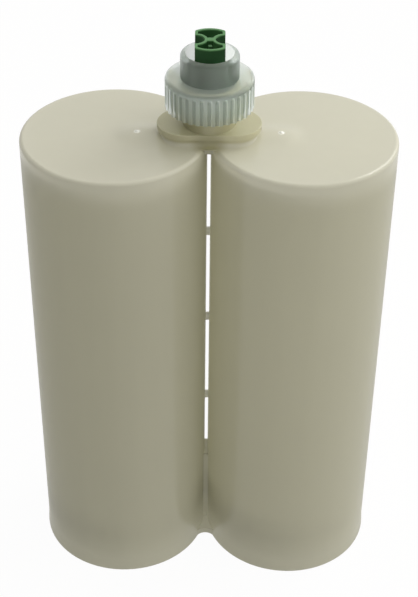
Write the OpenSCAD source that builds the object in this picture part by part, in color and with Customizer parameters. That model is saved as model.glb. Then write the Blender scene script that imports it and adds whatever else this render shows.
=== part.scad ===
// Side-by-side dual cartridge: twin-barrel body, two sealed pistons with vent pins,
// a closure plug in the twin outlet and the screw nut that holds it.
// Millimetres. Origin midway between the barrels on the plane of the rear rims.
// +Z points to the outlet, X runs across the two barrels.

/* [Barrels] */
// Outside diameter of each barrel
barrel_od = 77; // [60:0.5:90]
// Wall thickness of each barrel
barrel_wall = 2.25; // [1.6:0.05:4]
// Height from the rear rims to the flat barrel tops
barrel_h = 218; // [150:1:260]
// Gap between the two barrels
slit_w = 1.4; // [0.8:0.1:4]
// Thickness of the wall that closes each barrel at the outlet end
front_wall = 3; // [2.2:0.1:5]
// Radius on the outer edge of the barrel tops
top_edge_r = 1.6; // [0.5:0.1:2]
// Extra radius of the rear rim
rim_flare = 0.4; // [0.1:0.05:0.6]
// Length over which the rear rim flares
rim_flare_h = 7; // [3:0.5:12]
// Chamfer that leads the pistons into the rear of the barrels
lead_in = 0.8; // [0.3:0.1:1.2]

/* [Bridges between the barrels] */
// Number of small bridges along the gap
bridge_count = 3; // [2:1:6]
// Height of each small bridge
bridge_h = 3.4; // [2:0.1:8]
// Depth of each small bridge, front to back
bridge_depth = 1.6; // [1:0.1:10]
// Height of the lowest small bridge above the rear rims
first_bridge_z = 78.2; // [65:0.1:95]
// Thickness of the bridge under the outlet
top_bridge_t = 4; // [2:0.1:6]
// Depth of the bridge under the outlet, front to back
top_bridge_depth = 18; // [12:0.5:22]
// Radius on the front and back edges of the bridge under the outlet
top_bridge_r = 1.9; // [0.5:0.1:1.9]
// Height of the upright web that closes the rear end of the gap
upright_web_h = 44.6; // [20:0.1:60]
// Depth of the upright web, front to back
upright_web_depth = 11; // [4:0.5:14]
// Thickness of the flat web that joins the rear rims
rear_web_t = 3; // [2:0.1:6]
// Depth of the flat web that joins the rear rims, at its waist
rear_web_depth = 28.2; // [20:0.1:36]

/* [Flow ridges and collar] */
// Height of the ridge over each flow channel
ridge_h = 1.2; // [0.8:0.1:4]
// Full width of the ridge, with its blends
ridge_w = 24; // [14:0.5:26]
// Distance from the middle of the cartridge to the centre of the ridge's round nose
ridge_reach = 29.5; // [23:0.5:32]
// Diameter of the small domed gate mark on each ridge's nose
gate_d = 1.8; // [1.2:0.1:2.6]
// Height of the gate mark
gate_h = 0.5; // [0.3:0.05:0.6]
// Diameter of the flow channel inside the ridge
channel_d = 12; // [8:0.5:12]
// Wall left above the flow channel
channel_wall = 2.2; // [1.5:0.1:3]
// Height of the pedestal that lifts the collar off the barrel tops
pedestal_h = 3.4; // [2.5:0.1:6]
// Radius of the hollow blend at the pedestal's foot
pedestal_cove = 2; // [0.5:0.1:2.4]
// Length of the oblong collar, across the barrels
collar_l = 42.8; // [38:0.1:50]
// Width of the oblong collar, front to back
collar_w = 22.6; // [20:0.1:30]
// Thickness of the oblong collar
collar_t = 2.6; // [1.6:0.1:4]
// Distance that the collar stands out past its pedestal
collar_overhang = 1.6; // [0.8:0.1:2.5]
// Radius on the edges of the collar
collar_edge_r = 0.3; // [0.1:0.05:0.4]

/* [Outlet neck] */
// Outside diameter of the neck, under its thread
neck_od = 21.8; // [21:0.1:22]
// Height of the neck above the collar
neck_h = 16; // [12:0.1:22]
// Wall around the twin outlets
neck_wall = 2.4; // [1.8:0.1:3]
// Chamfer on the mouth of the neck
neck_chamfer = 1.2; // [0.6:0.1:1.2]
// Thickness of the divider between the twin outlets
port_divider = 5.6; // [5:0.1:7]
// Width of the coring slot in the divider
coring_w = 1.8; // [1:0.1:2.4]
// Length of the coring slot, front to back
coring_l = 12; // [6:0.5:14]
// Depth of the coring slot below the mouth of the neck
coring_depth = 13; // [6:0.5:15]

/* [Pistons] */
// Length of each piston
piston_l = 24.3; // [20:0.1:30]
// Depth of the pistons behind the rear rims when the barrels are full
piston_setback = 9; // [5:0.5:15]
// Radial running clearance of the piston lips in the bore
piston_fit = 0.08; // [0.02:0.01:0.1]
// Height of the lip at each end of the piston
lip_h = 3.6; // [2:0.1:5]
// Radial step from the lips to the piston's side
side_relief = 0.4; // [0.2:0.05:1]
// Thickness of the piston's front face
piston_face = 4.2; // [3.2:0.1:6]
// Wall left behind the ring groove
groove_wall = 2.2; // [1.5:0.1:3]
// Depth of the groove that makes the front lip flexible
wiper_depth = 2.8; // [1:0.1:3]
// Width of that groove
wiper_w = 1.3; // [0.8:0.1:2]
// Thickness of the front lip outside that groove
wiper_t = 1.1; // [0.8:0.1:2]
// Number of radial ribs behind the front face
rib_count = 8; // [5:1:12]
// Thickness of each radial rib
rib_t = 1.6; // [1:0.1:3]
// Distance from the piston's rear edge to the ribs
rib_setback = 9; // [6:0.5:12]
// Diameter of the boss around the vent
boss_d = 14; // [12:0.5:18]

/* [Seal rings and vent pins] */
// Section diameter of the seal ring
ring_section = 3.5; // [2.5:0.1:4]
// Clearance of the seal ring to the bore and to its groove
ring_fit = 0.05; // [0.02:0.01:0.1]
// Side clearance of the seal ring in its groove
ring_room = 0.4; // [0.2:0.05:0.8]
// Diameter of the vent pin's stem
pin_d = 5.9; // [4:0.1:7]
// Radial clearance of the vent pin in the piston
pin_fit = 0.06; // [0.02:0.01:0.1]
// Diameter of the vent pin's head
pin_head_d = 10; // [8:0.1:11]
// Thickness of the vent pin's head
pin_head_t = 2; // [1:0.1:3]
// Plain length at the rear of the stem that closes the vent
pin_seal_l = 3.8; // [2:0.1:6]
// Radius of each air flute
flute_r = 0.9; // [0.5:0.1:1.2]
// Gap that is left between parts that seat on each other
seat_gap = 0.2; // [0.1:0.05:0.3]

/* [Closure plug] */
// Thickness of the plug's flange
flange_t = 2.4; // [1.6:0.1:4]
// Radial clearance of the flange in the nut's pocket
flange_fit = 0.2; // [0.1:0.05:0.4]
// Length of the stubs that close the outlets
stub_l = 8.5; // [5:0.1:11]
// Clearance of the stubs in the outlets
stub_fit = 0.25; // [0.1:0.05:0.4]
// Length of the lead-in taper on each stub
stub_taper = 1.6; // [0.8:0.1:2.5]
// Height of the handle above the flange
handle_h = 18.4; // [14:0.1:24]
// Width of the handle across the barrels
handle_w = 12; // [10:0.1:15]
// Depth of the handle, front to back, over its round ends
handle_d = 19; // [17:0.1:21]
// Radius on the handle's four upright corners
handle_corner_r = 1.4; // [1.2:0.1:2.4]
// Wall thickness around the handle's pockets
handle_wall = 1.1; // [0.8:0.05:1.2]
// Radius of the finger scoop in each side of the handle
scoop_r = 3.7; // [3:0.1:4.2]
// Depth of the finger scoop
scoop_depth = 3.9; // [2.5:0.1:4.2]
// Height of the scoops' floor above the flange
scoop_floor = 3; // [1.5:0.1:6]
// Thickness of the web between the two pockets
pocket_web = 2.6; // [1.5:0.1:4]
// Height of the pockets' floor above the flange
pocket_floor = 4; // [1.5:0.1:8]
// Diameter of the small post in the front pocket
post_d = 1.7; // [1:0.1:2.2]
// Distance from the top of the post up to the handle's rim
post_drop = 0.4; // [0.2:0.1:3]

/* [Retaining nut] */
// Room between the neck and the nut's bore, which the screw thread fills
thread_room = 2.2; // [1.5:0.1:2.5]
// Wall of the nut's threaded sleeve
sleeve_wall = 1.9; // [1.4:0.1:2.4]
// Distance that the sleeve stays short of the skirt's lower edge
sleeve_setback = 0.8; // [0:0.1:2]
// Open gap between the sleeve and the skirt
core_gap = 1.1; // [0.8:0.1:1.6]
// Wall of the nut's skirt
skirt_wall = 1.9; // [1.6:0.1:2.4]
// Height of the nut's skirt
skirt_h = 13.2; // [10:0.1:18]
// Thickness of the nut's roof above the plug's flange
roof_t = 2.3; // [1.5:0.1:4]
// Radius on the nut's shoulder
shoulder_r = 1.5; // [0.5:0.1:2]
// Radial clearance around the handle in the nut's tube
handle_fit = 0.2; // [0.15:0.05:0.6]
// Wall of the nut's upper tube
tube_wall = 2.15; // [1.8:0.05:3]
// Height of the nut's upper tube above its shoulder
tube_h = 10.2; // [6:0.1:14]
// Radius on the mouth of the tube
tube_edge_r = 1.7; // [0.5:0.1:1.75]
// Radius of the bead that keeps the plug's flange in the nut
bead_r = 0.4; // [0.3:0.05:0.55]
// Number of grip grooves around the skirt
grip_count = 36; // [18:1:40]
// Radius of each grip groove
grip_r = 1; // [0.6:0.1:1.2]
// Depth of each grip groove
grip_depth = 0.7; // [0.3:0.1:0.9]
// Distance from the shoulder down to the grooves' round ends
grip_stop = 1.6; // [1:0.1:4]

/* [Hidden] */
$fn = 96;
// Length by which a cut runs past the face that it opens
cut = 1;
// Length by which joined shapes run into each other
sink = 0.5;

barrel_r = barrel_od / 2;
bore_r = barrel_r - barrel_wall;
rim_r = barrel_r + rim_flare;
axis_x = barrel_r + slit_w / 2;
chamber_top = barrel_h - front_wall;

bridge_pitch = (barrel_h - front_wall / 2 - first_bridge_z) / bridge_count;
bridge_w = slit_w + barrel_wall;
top_bridge_w = slit_w + 2 * (top_edge_r + barrel_wall);

// The rear web's hollow ends run a little into the rims, so that they meet them cleanly
web_waist = rear_web_depth / 2;
web_end_r = 1.08 * (axis_x^2 + web_waist^2 - rim_r^2) / (2 * (rim_r - web_waist));
web_end_y = web_waist + web_end_r;
web_reach = web_end_r / norm([axis_x, web_end_y]);
web_half_w = axis_x * web_reach;
web_half_d = web_end_y * (1 - web_reach) - cut / 10;

// A ridge flank is an arc that turns into an equal, opposite arc halfway down
ridge_half = ridge_w / 2;
ridge_angle = 2 * atan(ridge_h / ridge_half);
ridge_arc = ridge_half / (2 * sin(ridge_angle));
gate_r = (gate_d^2 / 4 + gate_h^2) / (2 * gate_h);
channel_r = channel_d / 2;
channel_z = barrel_h + ridge_h - channel_wall - channel_r;
channel_reach = ridge_reach - channel_wall;

collar_z = barrel_h + pedestal_h;
collar_top = collar_z + collar_t;
neck_r = neck_od / 2;
neck_top = collar_top + neck_h;
port_r = neck_r - neck_wall;

lip_r = bore_r - piston_fit;
side_r = lip_r - side_relief;
ring_mid_r = bore_r - ring_fit - ring_section / 2;
groove_r = ring_mid_r - ring_section / 2 - ring_fit;
groove_h = ring_section + 2 * ring_room;
cup_r = groove_r - groove_wall;
groove_z = piston_l / 2;
vent_r = pin_d / 2 + pin_fit;
pin_l = piston_l - rib_setback;
flute_l = pin_l - pin_seal_l;

flange_z = neck_top + seat_gap;
flange_top = flange_z + flange_t;
handle_r = handle_d / 2;
scoop_x = handle_w / 2 - scoop_depth + scoop_r;
post_y = (pocket_web / 2 + handle_r - handle_wall) / 2;

flange_r = neck_r;
pocket_r = flange_r + flange_fit;
nut_bore_r = neck_r + thread_room;
sleeve_r = nut_bore_r + sleeve_wall;
skirt_r = sleeve_r + core_gap + skirt_wall;
roof_z = flange_top + seat_gap;
shoulder_z = roof_z + roof_t;
skirt_z = shoulder_z - skirt_h;
tube_r = handle_r + handle_fit;
tube_out_r = tube_r + tube_wall;
tube_top = shoulder_z + tube_h;
bead_z = flange_z - seat_gap - bead_r;
pocket_z = bead_z - bead_r;

natural = [0.79, 0.78, 0.69];
frosted = [0.85, 0.87, 0.86, 0.6];
green = [0.1, 0.34, 0.16];
white = [0.93, 0.93, 0.9];
pale = [0.86, 0.85, 0.8];

// Solid bar with round ends: a half section, drawn from its middle outwards, carried round an oblong
module oblong(length, half_w) {
    straight = length - 2 * half_w;
    rotate([90, 0, 90])
        linear_extrude(straight, center = true) {
            children();
            mirror([1, 0]) children();
        }
    for (end = [-1, 1])
        translate([end * straight / 2, 0, 0])
            rotate_extrude() children();
}

// Outer form of one barrel: flared rear rim, straight wall and rounded top edge
module barrel_form() {
    rotate_extrude() {
        polygon([[0, 0], [rim_r, 0], [barrel_r, rim_flare_h], [0, rim_flare_h]]);
        square([barrel_r, barrel_h - top_edge_r]);
        square([barrel_r - top_edge_r, barrel_h]);
        translate([barrel_r - top_edge_r, barrel_h - top_edge_r]) circle(top_edge_r);
    }
}

// Space inside one barrel, with the lead-in at its rear mouth
module chamber() {
    rotate_extrude() {
        translate([0, -cut]) square([bore_r, chamber_top + cut]);
        polygon([[0, -cut], [bore_r + lead_in + cut, -cut], [bore_r, lead_in], [0, lead_in]]);
    }
}

// Section of the bridge under the outlet, with round top edges
module top_bridge_section() {
    half = top_bridge_depth / 2;
    translate([-half, 0]) square([top_bridge_depth, top_bridge_t - top_bridge_r]);
    translate([top_bridge_r - half, 0]) square([top_bridge_depth - 2 * top_bridge_r, top_bridge_t]);
    for (end = [-1, 1])
        translate([end * (half - top_bridge_r), top_bridge_t - top_bridge_r]) circle(top_bridge_r);
}

// Bridges and webs that hold the barrels together along the gap
module bridges() {
    for (i = [0 : bridge_count - 1])
        translate([0, 0, first_bridge_z + i * bridge_pitch])
            cube([bridge_w, bridge_depth, bridge_h], center = true);
    translate([0, 0, barrel_h - top_bridge_t])
        rotate([90, 0, 90])
            linear_extrude(top_bridge_w, center = true) top_bridge_section();
    translate([-bridge_w / 2, -upright_web_depth / 2, 0])
        cube([bridge_w, upright_web_depth, upright_web_h]);
    linear_extrude(rear_web_t)
        difference() {
            square(2 * [web_half_w, web_half_d], center = true);
            for (end = [-1, 1])
                translate([0, end * web_end_y]) circle(web_end_r);
        }
}

// Half section of a ridge: a round crest that turns into a hollow foot
module ridge_section() {
    intersection() {
        translate([0, ridge_h - ridge_arc]) circle(ridge_arc);
        square([ridge_half / 2, ridge_h]);
    }
    difference() {
        square([ridge_half, ridge_h / 2]);
        translate([ridge_half, ridge_arc]) circle(ridge_arc);
    }
    translate([0, -sink]) square([ridge_half, sink]);
}

// Half section of the pedestal under the collar, with a hollow blend at its foot
module pedestal_section(half_w) {
    square([half_w, pedestal_h + sink]);
    difference() {
        square([half_w + pedestal_cove, pedestal_cove]);
        translate([half_w + pedestal_cove, pedestal_cove]) circle(pedestal_cove);
    }
    translate([0, -sink]) square([half_w + pedestal_cove, sink]);
}

// Half section of the collar, with round edges
module collar_section(half_w) {
    square([half_w - collar_edge_r, collar_t]);
    translate([0, collar_edge_r]) square([half_w, collar_t - 2 * collar_edge_r]);
    for (z = [collar_edge_r, collar_t - collar_edge_r])
        translate([half_w - collar_edge_r, z]) circle(collar_edge_r);
}

// Ridges with their gate marks, pedestal, collar and neck on top of the barrels
module outlet_form() {
    pedestal_half = collar_w / 2 - collar_overhang;
    translate([0, 0, barrel_h]) {
        oblong(2 * (ridge_reach + ridge_half), ridge_half) ridge_section();
        for (side = [-1, 1])
            translate([side * ridge_reach, 0, ridge_h + gate_h - gate_r]) sphere(gate_r);
        oblong(collar_l - 2 * collar_overhang, pedestal_half) pedestal_section(pedestal_half);
    }
    translate([0, 0, collar_z]) oblong(collar_l, collar_w / 2) collar_section(collar_w / 2);
    translate([0, 0, collar_top - sink])
        cylinder(h = neck_h + sink - neck_chamfer, r = neck_r);
    translate([0, 0, neck_top - neck_chamfer])
        cylinder(h = neck_chamfer, r1 = neck_r, r2 = neck_r - neck_chamfer);
}

// Half-round outlet on the +X side, taken in by a clearance
module port(bottom, top, fit = 0, taper = 0) {
    intersection() {
        translate([0, 0, bottom]) {
            cylinder(h = taper, r1 = port_r - fit - taper / 2, r2 = port_r - fit);
            translate([0, 0, taper]) cylinder(h = top - bottom - taper, r = port_r - fit);
        }
        translate([port_divider / 2 + fit, -port_r, bottom])
            cube([port_r, 2 * port_r, top - bottom]);
    }
}

// Flow channel under the ridge on the +X side
module flow_channel() {
    translate([0, 0, channel_z]) {
        translate([port_divider / 2, 0, 0])
            rotate([0, 90, 0]) cylinder(h = channel_reach - port_divider / 2, r = channel_r);
        translate([channel_reach, 0, 0]) sphere(channel_r);
    }
}

module cartridge_body() {
    color(natural)
        difference() {
            union() {
                for (side = [-1, 1])
                    translate([side * axis_x, 0, 0]) barrel_form();
                bridges();
                outlet_form();
            }
            for (side = [0, 1])
                mirror([side, 0, 0]) {
                    translate([axis_x, 0, 0]) chamber();
                    flow_channel();
                    port(chamber_top - sink, neck_top + cut);
                }
            translate([-coring_w / 2, -coring_l / 2, neck_top - coring_depth])
                cube([coring_w, coring_l, coring_depth + cut]);
        }
}

// Half section of a piston: lips, ring groove, cup and flexible front lip
module piston_section() {
    difference() {
        union() {
            square([side_r, piston_l]);
            square([lip_r, lip_h]);
            translate([0, piston_l - lip_h]) square([lip_r, lip_h]);
        }
        translate([0, -cut]) square([cup_r, piston_l - piston_face + cut]);
        translate([groove_r, groove_z - groove_h / 2]) square([lip_r, groove_h]);
        translate([lip_r - wiper_t - wiper_w, piston_l - wiper_depth]) square([wiper_w, wiper_depth + cut]);
    }
}

module piston() {
    rib_h = piston_l - piston_face - rib_setback;
    difference() {
        union() {
            rotate_extrude() piston_section();
            translate([0, 0, rib_setback]) {
                cylinder(h = rib_h + sink, d = boss_d);
                for (i = [0 : rib_count - 1])
                    rotate(i * 360 / rib_count)
                        translate([0, -rib_t / 2, 0])
                            cube([cup_r + sink, rib_t, rib_h + sink]);
            }
        }
        translate([0, 0, rib_setback - cut]) cylinder(h = piston_l, r = vent_r);
    }
}

module piston_ring() {
    rotate_extrude() translate([ring_mid_r, groove_z]) circle(d = ring_section, $fn = 48);
}

// Pin that closes the vent: a head behind the boss, and a stem with air flutes ahead of its plain length
module vent_pin() {
    flute_count = 3;
    translate([0, 0, rib_setback - seat_gap]) {
        translate([0, 0, -pin_head_t]) cylinder(h = pin_head_t, d = pin_head_d);
        difference() {
            cylinder(h = pin_l, d = pin_d);
            for (i = [0 : flute_count - 1])
                rotate(i * 360 / flute_count)
                    translate([pin_d / 2, 0, pin_seal_l]) cylinder(h = flute_l + cut, r = flute_r);
        }
    }
}

// Places a piston or a part of one in the barrel on that side
module in_barrel(side) {
    translate([side * axis_x, 0, piston_setback]) children();
}

module left_piston() {
    color(white) in_barrel(-1) piston();
}

module right_piston() {
    color(white) in_barrel(1) piston();
}

module left_piston_ring() {
    color(pale) in_barrel(-1) piston_ring();
}

module right_piston_ring() {
    color(pale) in_barrel(1) piston_ring();
}

module left_vent_pin() {
    color(white) in_barrel(-1) vent_pin();
}

module right_vent_pin() {
    color(white) in_barrel(1) vent_pin();
}

// Outline of the handle: round front and back, flat sides, and corners that blend the two
module handle_outline(w, r, corner) {
    corner_x = w / 2 - corner;
    corner_y = sqrt((r - corner)^2 - corner_x^2);
    blend_x = corner_x * r / (r - corner);
    intersection() {
        circle(r);
        square([2 * blend_x, 2 * r], center = true);
    }
    square([w, 2 * corner_y], center = true);
    for (x = [-corner_x, corner_x], y = [-corner_y, corner_y])
        translate([x, y]) circle(corner);
}

// Finger scoops in the two sides of the handle, grown by a wall where one is wanted
module scoops(grow) {
    for (side = [-1, 1])
        translate([side * scoop_x, 0]) circle(scoop_r + grow);
}

module closure_plug() {
    color(green) {
        translate([0, 0, flange_z]) cylinder(h = flange_t, r = flange_r);
        for (side = [0, 1])
            mirror([side, 0, 0]) port(flange_z - stub_l, flange_z + sink, stub_fit, stub_taper);
        translate([0, 0, flange_top - sink])
            difference() {
                linear_extrude(handle_h + sink) handle_outline(handle_w, handle_r, handle_corner_r);
                translate([0, 0, sink + scoop_floor]) linear_extrude(handle_h) scoops(0);
                translate([0, 0, sink + pocket_floor])
                    linear_extrude(handle_h)
                        difference() {
                            handle_outline(
                                handle_w - 2 * handle_wall,
                                handle_r - handle_wall,
                                handle_corner_r - handle_wall
                            );
                            scoops(handle_wall);
                            square([handle_w, pocket_web], center = true);
                        }
            }
        translate([0, -post_y, flange_top + pocket_floor - sink])
            cylinder(h = handle_h - pocket_floor - post_drop + sink, d = post_d);
    }
}

// Half section of the nut: skirt, inner sleeve, roof, tube, and the flange's pocket with the bead at its mouth
module nut_section() {
    difference() {
        union() {
            translate([0, skirt_z]) square([skirt_r, skirt_h - shoulder_r]);
            translate([0, skirt_z]) square([skirt_r - shoulder_r, skirt_h]);
            translate([skirt_r - shoulder_r, shoulder_z - shoulder_r]) circle(shoulder_r);
            translate([0, shoulder_z - sink]) square([tube_out_r, tube_h + sink - tube_edge_r]);
            translate([0, shoulder_z - sink]) square([tube_out_r - tube_edge_r, tube_h + sink]);
            translate([tube_out_r - tube_edge_r, tube_top - tube_edge_r]) circle(tube_edge_r);
        }
        translate([0, skirt_z - cut]) square([nut_bore_r, pocket_z - skirt_z + cut]);
        translate([0, skirt_z]) square([pocket_r, roof_z - skirt_z]);
        translate([0, skirt_z]) square([tube_r, tube_top - skirt_z + cut]);
        translate([sleeve_r, skirt_z - cut]) square([core_gap, roof_z - skirt_z + cut]);
        translate([0, skirt_z - cut]) square([sleeve_r + core_gap / 2, sleeve_setback + cut]);
    }
    intersection() {
        translate([pocket_r, bead_z]) circle(bead_r, $fn = 48);
        translate([0, pocket_z]) square([pocket_r + sink, 2 * bead_r]);
    }
}

module retaining_nut() {
    grip_top = shoulder_z - grip_stop - grip_r;
    color(frosted)
        difference() {
            rotate_extrude() nut_section();
            for (i = [0 : grip_count - 1])
                rotate(i * 360 / grip_count)
                    translate([skirt_r - grip_depth + grip_r, 0, skirt_z - cut]) {
                        cylinder(h = grip_top - skirt_z + cut, r = grip_r, $fn = 24);
                        translate([0, 0, grip_top - skirt_z + cut]) sphere(grip_r, $fn = 24);
                    }
        }
}

cartridge_body();
left_piston();
right_piston();
left_piston_ring();
right_piston_ring();
left_vent_pin();
right_vent_pin();
closure_plug();
retaining_nut();
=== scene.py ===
"""Looks of the side-by-side dual cartridge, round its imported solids. Metres, in the part's own frame."""
import math

import bmesh
import bpy
from mathutils import Matrix, Vector


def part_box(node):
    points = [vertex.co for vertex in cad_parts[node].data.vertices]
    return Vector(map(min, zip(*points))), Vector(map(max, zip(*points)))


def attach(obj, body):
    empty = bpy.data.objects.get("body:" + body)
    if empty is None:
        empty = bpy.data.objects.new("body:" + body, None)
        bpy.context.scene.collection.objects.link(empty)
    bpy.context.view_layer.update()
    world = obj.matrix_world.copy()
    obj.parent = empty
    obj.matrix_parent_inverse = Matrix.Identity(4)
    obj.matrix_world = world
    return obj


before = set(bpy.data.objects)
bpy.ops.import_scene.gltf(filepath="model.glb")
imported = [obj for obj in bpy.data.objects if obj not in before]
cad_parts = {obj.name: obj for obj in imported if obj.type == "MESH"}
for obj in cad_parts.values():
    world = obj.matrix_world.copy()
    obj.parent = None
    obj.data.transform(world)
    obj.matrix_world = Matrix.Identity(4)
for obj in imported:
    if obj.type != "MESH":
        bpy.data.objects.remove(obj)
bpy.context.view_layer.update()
MM = 0.001
LEVEL = (1.0, 1.0, 0.0)
WHITE = (1.0, 1.0, 1.0, 1.0)

# Camera, fitted to the outlines in the photograph
IMAGE_W = 418
IMAGE_H = 597
FOCAL_PX = 1419.9
SENSOR = 36.0
CAMERA_AZIMUTH = math.radians(-0.146)
CAMERA_ELEVATION = math.radians(37.059)
CAMERA_ROLL = math.radians(0.637)
CAMERA_DISTANCE = 631.44 * MM
CAMERA_TARGET = Vector((0.648, 0.0, 133.966)) * MM
CAMERA_NEAR = 0.01
CAMERA_FAR = 50.0

# Middle of the barrel tops
TOP = Vector((0.0, 0.0, 218.0)) * MM

# Light of the surroundings from the right and from above, and its tint
SURROUNDINGS = {"X": 1.6, "Z": 0.62}
SURROUNDINGS_TINT = (1.0, 0.975, 0.9, 1.0)

# Floor: half its side, its level, the share that takes the shadow, and the tinted light that it throws up
FLOOR_HALF = 6.0
FLOOR_Z = -0.1 * MM
FLOOR_SHADOW_SHARE = 0.04
FLOOR_LIGHT = 0.41
FLOOR_TINT = (1.0, 0.975, 0.86, 1.0)

# Share of the light that passes a barrel's wall, and a thick section of the moulding
THIN_WALL_SHARE = 0.5
THICK_WALL_SHARE = 0.25

# Heights over which the moulding grows thick, takes the collar's colour, and then the neck's: deeper for
# thick plastic, and darkened with painted shade under the nut
THICK_Z = (TOP.z - 14.0 * MM, TOP.z - 0.5 * MM)
COLLAR_Z = (TOP.z + 1.0 * MM, TOP.z + 2.2 * MM)
NECK_Z = (TOP.z + 5.7 * MM, TOP.z + 6.3 * MM)

# Thin bridges of the slit, painted pale as if lit from behind: their reach to each side, and the heights
# where they begin and end
BRIDGE_X = (0.9 * MM, 0.6 * MM)
BRIDGES_Z = (50.0 * MM, 55.0 * MM), (200.0 * MM, 195.0 * MM)

# Root between the barrels under the collar's front edge, deeper for thick plastic and for painted shade:
# wider than deep, and mirrored at the back
ROOT = Vector((0.0, 11.0, 220.5)) * MM
ROOT_STRETCH = (0.7, 1.0, 1.0)
ROOT_REACH = (6.5 * MM, 2.0 * MM)

# Gate mark of the right barrel, which the left one mirrors, and where its painted highlight begins and is
# full
GATE = Vector((29.5, 0.0, 219.4)) * MM
GATE_HIGHLIGHT_REACH = (1.8 * MM, 0.9 * MM)

# Colours of the natural plastic: the thin walls, the thick places with painted shade, the painted
# highlight on the gate marks, and the painted backlight on the bridges
BARREL_COLOURS = (0.72, 0.71, 0.6), (0.76, 0.75, 0.64)
COLLAR_TONE_AND_SHADE = (0.66, 0.64, 0.46, 1.0)
NECK_TONE_AND_SHADE = (0.54, 0.52, 0.34, 1.0)
ROOT_TONE_AND_SHADE = (0.46, 0.44, 0.27, 1.0)
GATE_HIGHLIGHT_COLOUR = (0.95, 0.95, 0.9, 1.0)
BRIDGE_BACKLIGHT_COLOUR = (0.98, 0.98, 0.96, 1.0)

# Streaks of the natural plastic, drawn out along the barrels, and the level of the mottle that they make
STREAK_STRETCH = (1.0, 1.0, 0.06)
MOTTLE_LEVEL = 0.25

# Colours of the other pieces, with painted shade for the nut's grooves and a painted highlight for the
# plug's rims
NUT_COLOURS = (0.86, 0.93, 0.92), (0.92, 0.97, 0.96)
GROOVE_SHADE_COLOUR = (0.58, 0.64, 0.62, 1.0)
PLUG_COLOURS = (0.006, 0.03, 0.008), (0.01, 0.048, 0.014)
PLUG_RIM_HIGHLIGHT_COLOUR = (0.13, 0.3, 0.13, 1.0)
PLUG_LIGHT_COLOUR = (0.1, 0.3, 0.1, 1.0)
PISTON_COLOURS = (0.9, 0.9, 0.86), (0.95, 0.95, 0.92)
RING_COLOURS = (0.76, 0.75, 0.69), (0.82, 0.81, 0.75)

# Nut's grooved skirt, with the radii at a groove's mouth and at its floor, between which painted shade
# darkens the grooves
SKIRT_R = 18.0 * MM
GROOVE_H = 11.0 * MM
GROOVE_FADE = 1.0 * MM
GROOVE_MOUTH = (SKIRT_R - 0.1 * MM, SKIRT_R - 0.5 * MM)
GROOVE_FLOOR = (SKIRT_R - 1.1 * MM, SKIRT_R - 0.9 * MM)

# Depths under the plug's top where the painted highlight on its rims begins and is full
RIM_HIGHLIGHT_DEPTHS = (0.7 * MM, 0.05 * MM)

# Sizes of the screw thread, which the solids leave out
NECK_R = 10.9 * MM
SLEEVE_R = 13.1 * MM
NECK_CREST_R = 12.4 * MM
SLEEVE_CREST_R = 11.6 * MM
THREAD_PITCH = 4.0 * MM
THREAD_ROOT_W = 1.9 * MM
THREAD_CREST_W = 0.8 * MM
THREAD_SINK = 0.15 * MM
THREAD_STEPS = 72
THREAD_END_STEPS = 12
THREAD_LEAST_RISE = 0.02
NECK_THREAD_Z = (228.4 * MM, 237.6 * MM)
SLEEVE_THREAD_Z = (233.6 * MM, 238.0 * MM)


def add_node(tree, kind, inputs=None, **settings):
    """One shader node, with its settings, and its inputs given as values or as other nodes' sockets."""
    node = tree.nodes.new(kind)
    for name, value in settings.items():
        setattr(node, name, value)
    for name, value in (inputs or {}).items():
        if isinstance(value, bpy.types.NodeSocket):
            tree.links.new(value, node.inputs[name])
        else:
            node.inputs[name].default_value = value
    return node


def maths(tree, operation, *values, **settings):
    """The result of one maths operation on numbers or sockets."""
    inputs = dict(enumerate(values))
    return add_node(tree, "ShaderNodeMath", inputs, operation=operation, **settings).outputs["Value"]


def vector_maths(tree, operation, *vectors):
    """The outputs of one maths operation on vectors or sockets."""
    inputs = dict(enumerate(vectors))
    return add_node(tree, "ShaderNodeVectorMath", inputs, operation=operation).outputs


def axis_of(tree, vector, axis):
    """One of a vector's axes."""
    return add_node(tree, "ShaderNodeSeparateXYZ", {"Vector": vector}).outputs[axis]


def mix_shaders(tree, factor, first, second):
    """A mix of two shaders, from the first at 0 to the second at 1."""
    inputs = {0: factor, 1: first.outputs[0], 2: second.outputs[0]}
    return add_node(tree, "ShaderNodeMixShader", inputs)


def object_point(tree, stretch=(1.0, 1.0, 1.0)):
    """The point on the piece in its own frame, stretched for streaky textures."""
    where = add_node(tree, "ShaderNodeTexCoord").outputs["Object"]
    return add_node(tree, "ShaderNodeMapping", {"Vector": where, "Scale": stretch}).outputs["Vector"]


def noise(tree, point, scale, detail=2.0):
    """Soft noise with that many waves to the metre."""
    inputs = {"Vector": point, "Scale": scale, "Detail": detail}
    return add_node(tree, "ShaderNodeTexNoise", inputs).outputs["Fac"]


def blend_colours(tree, factor, low, high):
    """A colour between two plain ones, by a factor from 0 to 1."""
    ramp = add_node(tree, "ShaderNodeValToRGB", {"Fac": factor})
    for stop, colour in zip(ramp.color_ramp.elements, (low, high)):
        stop.color = (*colour, 1.0)
    return ramp.outputs["Color"]


def mix_colours(tree, factor, low, high):
    """A colour between two others, each a socket or a value, by a factor from 0 to 1."""
    # Sockets 6, 7 and 2 are a Mix node's colours, because its numbers and vectors come before them
    return add_node(tree, "ShaderNodeMix", {0: factor, 6: low, 7: high}, data_type="RGBA").outputs[2]


def ramp_up(tree, value, start, end):
    """0 up to the start, 1 from the end on, and a soft rise between them."""
    inputs = {"Value": value, "From Min": start, "From Max": end}
    return add_node(tree, "ShaderNodeMapRange", inputs, interpolation_type="SMOOTHSTEP").outputs["Result"]


def spread(tree, factor, low, high):
    """A number between two, by a factor from 0 to 1."""
    inputs = {"Value": factor, "To Min": low, "To Max": high}
    return add_node(tree, "ShaderNodeMapRange", inputs).outputs["Result"]


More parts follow.
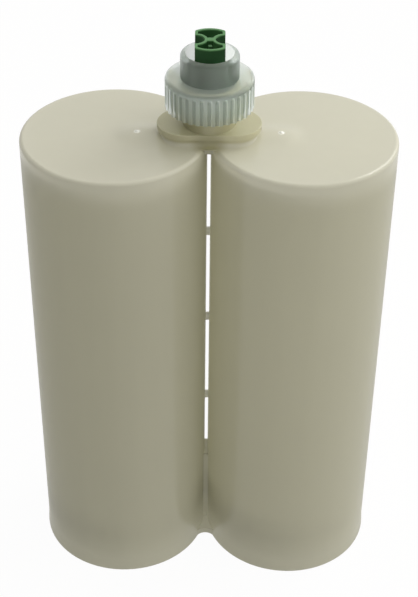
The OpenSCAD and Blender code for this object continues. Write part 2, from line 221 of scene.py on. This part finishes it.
def overlap(tree, mask, *others):
    """1 where every mask is 1, and 0 where one of them is 0."""
    for other in others:
        mask = maths(tree, "MULTIPLY", mask, other)
    return mask


def new_material(name, values=None):
    """A node material, its Principled shader with some of its values set, and its tree."""
    material = bpy.data.materials.new(name)
    material.use_nodes = True
    shader = material.node_tree.nodes["Principled BSDF"]
    for key, value in (values or {}).items():
        shader.inputs[key].default_value = value
    return material, shader, material.node_tree


def cover(tree, shader, colour, roughness):
    """Gives a shader its colour and its roughness."""
    tree.links.new(colour, shader.inputs["Base Color"])
    tree.links.new(roughness, shader.inputs["Roughness"])


def moulded_skin(tree, shader, height, depth, strength, edge_r=0.0):
    """Fine relief of a moulded surface, over edges that are rounded by edge_r."""
    inputs = {"Height": height, "Distance": depth, "Strength": strength}
    if edge_r:
        bevel = add_node(tree, "ShaderNodeBevel", {"Radius": edge_r}, samples=4)
        inputs["Normal"] = bevel.outputs["Normal"]
    bump = add_node(tree, "ShaderNodeBump", inputs)
    tree.links.new(bump.outputs["Normal"], shader.inputs["Normal"])


def light_through(tree, shader, colour, share):
    """Lets a share of the light into the walls of a piece and out on their far side."""
    through = add_node(tree, "ShaderNodeBsdfTranslucent", {"Color": colour})
    skin = mix_shaders(tree, share, shader, through)
    window = add_node(tree, "ShaderNodeBsdfTransparent")
    leaving = add_node(tree, "ShaderNodeNewGeometry").outputs["Backfacing"]
    wall = mix_shaders(tree, leaving, skin, window)
    tree.links.new(wall.outputs[0], tree.nodes["Material Output"].inputs["Surface"])


def natural_plastic():
    """Natural plastic of the twin barrels: waxy walls that pass light, deeper in colour where thick, with
    painted shade under the nut and the collar, a painted highlight on the gate marks and painted backlight
    on the slit's bridges.
    """
    material, shader, tree = new_material("natural_plastic", {"Specular IOR Level": 0.6})
    point = object_point(tree)
    height = axis_of(tree, point, "Z")
    mirrored = vector_maths(tree, "ABSOLUTE", point)["Vector"]

    streak = noise(tree, object_point(tree, STREAK_STRETCH), scale=160.0)
    mottle = maths(tree, "MULTIPLY_ADD", noise(tree, point, scale=22.0), streak, MOTTLE_LEVEL)
    colour = blend_colours(tree, mottle, *BARREL_COLOURS)
    # Collar and neck: a deeper tone for thick plastic, plus painted shade for the nut's shadow on them
    colour = mix_colours(tree, ramp_up(tree, height, *COLLAR_Z), colour, COLLAR_TONE_AND_SHADE)
    colour = mix_colours(tree, ramp_up(tree, height, *NECK_Z), colour, NECK_TONE_AND_SHADE)

    # Painted shade under the collar's front edge, deepest at the root between the barrels, where the
    # plastic is thick too
    beside = vector_maths(tree, "MULTIPLY", mirrored, ROOT_STRETCH)["Vector"]
    from_root = vector_maths(tree, "DISTANCE", beside, ROOT)["Value"]
    colour = mix_colours(tree, ramp_up(tree, from_root, *ROOT_REACH), colour, ROOT_TONE_AND_SHADE)

    # Painted highlight on each gate mark: a pale spot that also lets no light through
    from_gate = vector_maths(tree, "DISTANCE", mirrored, GATE)["Value"]
    gate_highlight = ramp_up(tree, from_gate, *GATE_HIGHLIGHT_REACH)
    colour = mix_colours(tree, gate_highlight, colour, GATE_HIGHLIGHT_COLOUR)

    # Painted backlight: the slit's thin bridges painted near white, as if the light behind shone through
    # them
    across = ramp_up(tree, axis_of(tree, mirrored, "X"), *BRIDGE_X)
    bridge_backlight = overlap(tree, across, *(ramp_up(tree, height, *ends) for ends in BRIDGES_Z))
    colour = mix_colours(tree, bridge_backlight, colour, BRIDGE_BACKLIGHT_COLOUR)

    cover(tree, shader, colour, spread(tree, streak, low=0.16, high=0.24))
    grain = noise(tree, point, scale=900.0, detail=3.0)
    moulded_skin(tree, shader, grain, depth=0.05 * MM, strength=0.12, edge_r=0.3 * MM)
    thick = ramp_up(tree, height, *THICK_Z)
    share = spread(tree, thick, THIN_WALL_SHARE, THICK_WALL_SHARE)
    share = maths(tree, "MULTIPLY", share, maths(tree, "SUBTRACT", 1.0, gate_highlight))
    light_through(tree, shader, colour, share)
    return material


def frosted_plastic():
    """Frosted clear plastic of the nut: light passes, blurred by a milky body and a matt skin, with
    painted shade in the grooves of its skirt.
    """
    material, shader, tree = new_material("frosted_plastic", {"Transmission Weight": 0.86, "IOR": 1.3})
    point = object_point(tree)
    height = axis_of(tree, point, "Z")
    across = vector_maths(tree, "MULTIPLY", point, LEVEL)["Vector"]
    from_axis = vector_maths(tree, "LENGTH", across)["Value"]
    groove_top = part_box("retaining_nut")[0].z + GROOVE_H
    # Painted shade in the skirt's grooves, below the shoulder
    groove_shade = overlap(
        tree,
        ramp_up(tree, from_axis, *GROOVE_MOUTH),
        ramp_up(tree, from_axis, *GROOVE_FLOOR),
        ramp_up(tree, height, groove_top, groove_top - GROOVE_FADE),
    )
    cloud = noise(tree, point, scale=140.0)
    colour = mix_colours(tree, groove_shade, blend_colours(tree, cloud, *NUT_COLOURS), GROOVE_SHADE_COLOUR)
    cover(tree, shader, colour, spread(tree, cloud, low=0.2, high=0.28))
    grain = noise(tree, point, scale=1500.0, detail=3.0)
    moulded_skin(tree, shader, grain, depth=0.04 * MM, strength=0.15, edge_r=0.15 * MM)
    light_through(tree, shader, colour, share=0.36)
    return material


def green_plastic():
    """Dark green plastic of the plug, with a painted highlight where its thin walls end at the top."""
    material, shader, tree = new_material("green_plastic", {"Specular IOR Level": 0.1})
    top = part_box("closure_plug")[1].z
    point = object_point(tree)
    # Painted highlight on the tops of the plug's rims
    rim_highlight = ramp_up(tree, axis_of(tree, point, "Z"), *(top - depth for depth in RIM_HIGHLIGHT_DEPTHS))
    cloud = noise(tree, point, scale=260.0)
    colour = mix_colours(tree, rim_highlight, blend_colours(tree, cloud, *PLUG_COLOURS), PLUG_RIM_HIGHLIGHT_COLOUR)
    cover(tree, shader, colour, spread(tree, cloud, low=0.3, high=0.44))
    grain = noise(tree, point, scale=1800.0, detail=3.0)
    moulded_skin(tree, shader, grain, depth=0.03 * MM, strength=0.15, edge_r=0.2 * MM)
    light_through(tree, shader, PLUG_LIGHT_COLOUR, share=0.12)
    return material


def white_plastic():
    """White waxy plastic of the pistons and vent pins."""
    material, shader, tree = new_material("white_plastic")
    point = object_point(tree)
    cloud = noise(tree, point, scale=45.0)
    colour = blend_colours(tree, cloud, *PISTON_COLOURS)
    cover(tree, shader, colour, spread(tree, cloud, low=0.38, high=0.52))
    grain = noise(tree, point, scale=1100.0, detail=3.0)
    moulded_skin(tree, shader, grain, depth=0.04 * MM, strength=0.15, edge_r=0.25 * MM)
    light_through(tree, shader, colour, share=0.6)
    return material


def pale_rubber():
    """Pale silicone rubber of the seal rings, with a faint bloom."""
    material, shader, tree = new_material("pale_rubber")
    point = object_point(tree)
    bloom = noise(tree, point, scale=120.0)
    colour = blend_colours(tree, bloom, *RING_COLOURS)
    cover(tree, shader, colour, spread(tree, bloom, low=0.5, high=0.68))
    moulded_skin(tree, shader, noise(tree, point, scale=2200.0), depth=0.03 * MM, strength=0.2)
    light_through(tree, shader, colour, share=0.5)
    return material


def dress(material, *nodes):
    """Gives CAD nodes their finish."""
    for name in nodes:
        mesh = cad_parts[name].data
        mesh.materials.clear()
        mesh.materials.append(material)


def thread(name, wall_r, crest_r, span, start_angle, body, material):
    """A screw ridge with soft ends, from a wall's radius to the crest's, over a span of heights."""
    low, high = span
    turns = (high - low) / THREAD_PITCH
    steps = round(turns * THREAD_STEPS)
    root_r = wall_r - math.copysign(THREAD_SINK, crest_r - wall_r)
    mesh = bmesh.new()
    rings = []
    for i in range(steps + 1):
        angle = start_angle + 2 * math.pi * turns * i / steps
        ease = min(1.0, min(i, steps - i) / THREAD_END_STEPS)
        swell = math.sin(0.5 * math.pi * ease)
        tip_r = root_r + (crest_r - root_r) * max(swell, THREAD_LEAST_RISE)
        z = low + THREAD_PITCH * turns * i / steps
        section = (
            (root_r, -THREAD_ROOT_W / 2),
            (tip_r, -THREAD_CREST_W / 2),
            (tip_r, THREAD_CREST_W / 2),
            (root_r, THREAD_ROOT_W / 2),
        )
        ring = [mesh.verts.new((r * math.cos(angle), r * math.sin(angle), z + dz)) for r, dz in section]
        rings.append(ring)
    for before, after in zip(rings, rings[1:]):
        for j in range(len(before)):
            k = (j + 1) % len(before)
            mesh.faces.new((before[j], before[k], after[k], after[j]))
    mesh.faces.new(rings[0][::-1])
    mesh.faces.new(rings[-1])
    bmesh.ops.recalc_face_normals(mesh, faces=mesh.faces)
    data = bpy.data.meshes.new(name)
    mesh.to_mesh(data)
    mesh.free()
    data.materials.append(material)
    piece = bpy.data.objects.new(name, data)
    bpy.context.scene.collection.objects.link(piece)
    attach(piece, body)


def make_camera():
    """The photograph's camera."""
    across, rise = math.sin(CAMERA_AZIMUTH), math.sin(CAMERA_ELEVATION)
    level = math.cos(CAMERA_ELEVATION)
    back = Vector((across * level, -math.cos(CAMERA_AZIMUTH) * level, rise))
    right = Vector((0, 0, 1)).cross(back).normalized()
    turn = Matrix.Rotation(CAMERA_ROLL, 3, back)
    right = turn @ right
    up = back.cross(right)
    data = bpy.data.cameras.new("camera")
    data.sensor_width = SENSOR
    data.lens = FOCAL_PX * SENSOR / max(IMAGE_W, IMAGE_H)
    data.clip_start = CAMERA_NEAR
    data.clip_end = CAMERA_FAR
    camera = bpy.data.objects.new("camera", data)
    camera.matrix_world = Matrix.Translation(CAMERA_TARGET + back * CAMERA_DISTANCE) @ (
        Matrix((right, up, back)).transposed().to_4x4()
    )
    bpy.context.scene.collection.objects.link(camera)
    bpy.context.scene.camera = camera


def seen_directly(tree):
    """1 where the camera sees a thing straight, in a reflection or through clear plastic, else 0."""
    path = add_node(tree, "ShaderNodeLightPath").outputs
    seen = path["Is Camera Ray"]
    for name in ("Is Glossy Ray", "Is Transmission Ray"):
        seen = maths(tree, "MAXIMUM", seen, path[name])
    for name in ("Is Diffuse Ray", "Diffuse Depth"):
        seen = maths(tree, "SUBTRACT", seen, path[name], use_clamp=True)
    return seen


def make_floor():
    """A white floor, clear from below, that keeps the shadow and throws a dimmer, even light back up."""
    data = bpy.data.meshes.new("floor")
    corners = [(x * FLOOR_HALF, y * FLOOR_HALF, FLOOR_Z) for x, y in ((-1, -1), (1, -1), (1, 1), (-1, 1))]
    data.from_pydata(corners, [], [(0, 1, 2, 3)])
    floor = bpy.data.objects.new("floor", data)
    bpy.context.scene.collection.objects.link(floor)
    material = bpy.data.materials.new("floor_white")
    material.use_nodes = True
    tree = material.node_tree
    tree.nodes.clear()
    matt = add_node(tree, "ShaderNodeBsdfDiffuse", {"Color": WHITE})
    glow = add_node(tree, "ShaderNodeEmission", {"Color": WHITE, "Strength": 1.0})
    pale = mix_shaders(tree, FLOOR_SHADOW_SHARE, glow, matt)
    dim = add_node(tree, "ShaderNodeEmission", {"Color": FLOOR_TINT, "Strength": FLOOR_LIGHT})
    choice = mix_shaders(tree, seen_directly(tree), dim, pale)
    below = add_node(tree, "ShaderNodeNewGeometry").outputs["Backfacing"]
    clear = add_node(tree, "ShaderNodeBsdfTransparent")
    one_sided = mix_shaders(tree, below, choice, clear)
    add_node(tree, "ShaderNodeOutputMaterial", {"Surface": one_sided.outputs[0]})
    data.materials.append(material)


def make_world():
    """White surroundings, which light the part from the right and from above."""
    world = bpy.data.worlds.new("surroundings")
    world.use_nodes = True
    tree = world.node_tree
    tree.nodes.clear()
    white = add_node(tree, "ShaderNodeBackground", {"Color": WHITE, "Strength": 1.0})
    where = add_node(tree, "ShaderNodeTexCoord").outputs["Generated"]
    lights = SURROUNDINGS.items()
    right, above = (spread(tree, axis_of(tree, where, axis), 0.0, light) for axis, light in lights)
    level = maths(tree, "ADD", right, above)
    fill = add_node(tree, "ShaderNodeBackground", {"Color": SURROUNDINGS_TINT, "Strength": level})
    choice = mix_shaders(tree, seen_directly(tree), fill, white)
    add_node(tree, "ShaderNodeOutputWorld", {"Surface": choice.outputs[0]})
    bpy.context.scene.world = world


def make_lamp(name, place, aim, length, width, power):
    """A soft white lamp of that length and width, which points at a spot."""
    data = bpy.data.lights.new(name, "AREA")
    data.shape = "RECTANGLE"
    data.size = length
    data.size_y = width
    data.energy = power
    lamp = bpy.data.objects.new(name, data)
    lamp.location = place
    lamp.rotation_euler = (Vector(aim) - Vector(place)).to_track_quat("-Z", "Y").to_euler()
    bpy.context.scene.collection.objects.link(lamp)


make_camera()
make_floor()
make_world()
make_lamp("softbox", place=(0.35, 0.25, 0.5), aim=TOP, length=0.25, width=0.25, power=0.6)
make_lamp("tube", place=(0.0, 0.25, 1.05), aim=TOP, length=1.2, width=0.04, power=1.2)

barrel_plastic = natural_plastic()
nut_plastic = frosted_plastic()
dress(barrel_plastic, "cartridge_body")
dress(nut_plastic, "retaining_nut")
dress(green_plastic(), "closure_plug")
dress(white_plastic(), "left_piston", "right_piston", "left_vent_pin", "right_vent_pin")
dress(pale_rubber(), "left_piston_ring", "right_piston_ring")

# The nut's ridge lies half a pitch from the neck's, so that the two mesh
thread("neck_thread", NECK_R, NECK_CREST_R, NECK_THREAD_Z, 0.0, "cartridge", barrel_plastic)
rise = SLEEVE_THREAD_Z[0] - NECK_THREAD_Z[0] - THREAD_PITCH / 2
turn = 2 * math.pi * rise / THREAD_PITCH
thread("nut_thread", SLEEVE_R, SLEEVE_CREST_R, SLEEVE_THREAD_Z, turn, "nut", nut_plastic)

scene = bpy.context.scene
scene.view_settings.view_transform = "Standard"
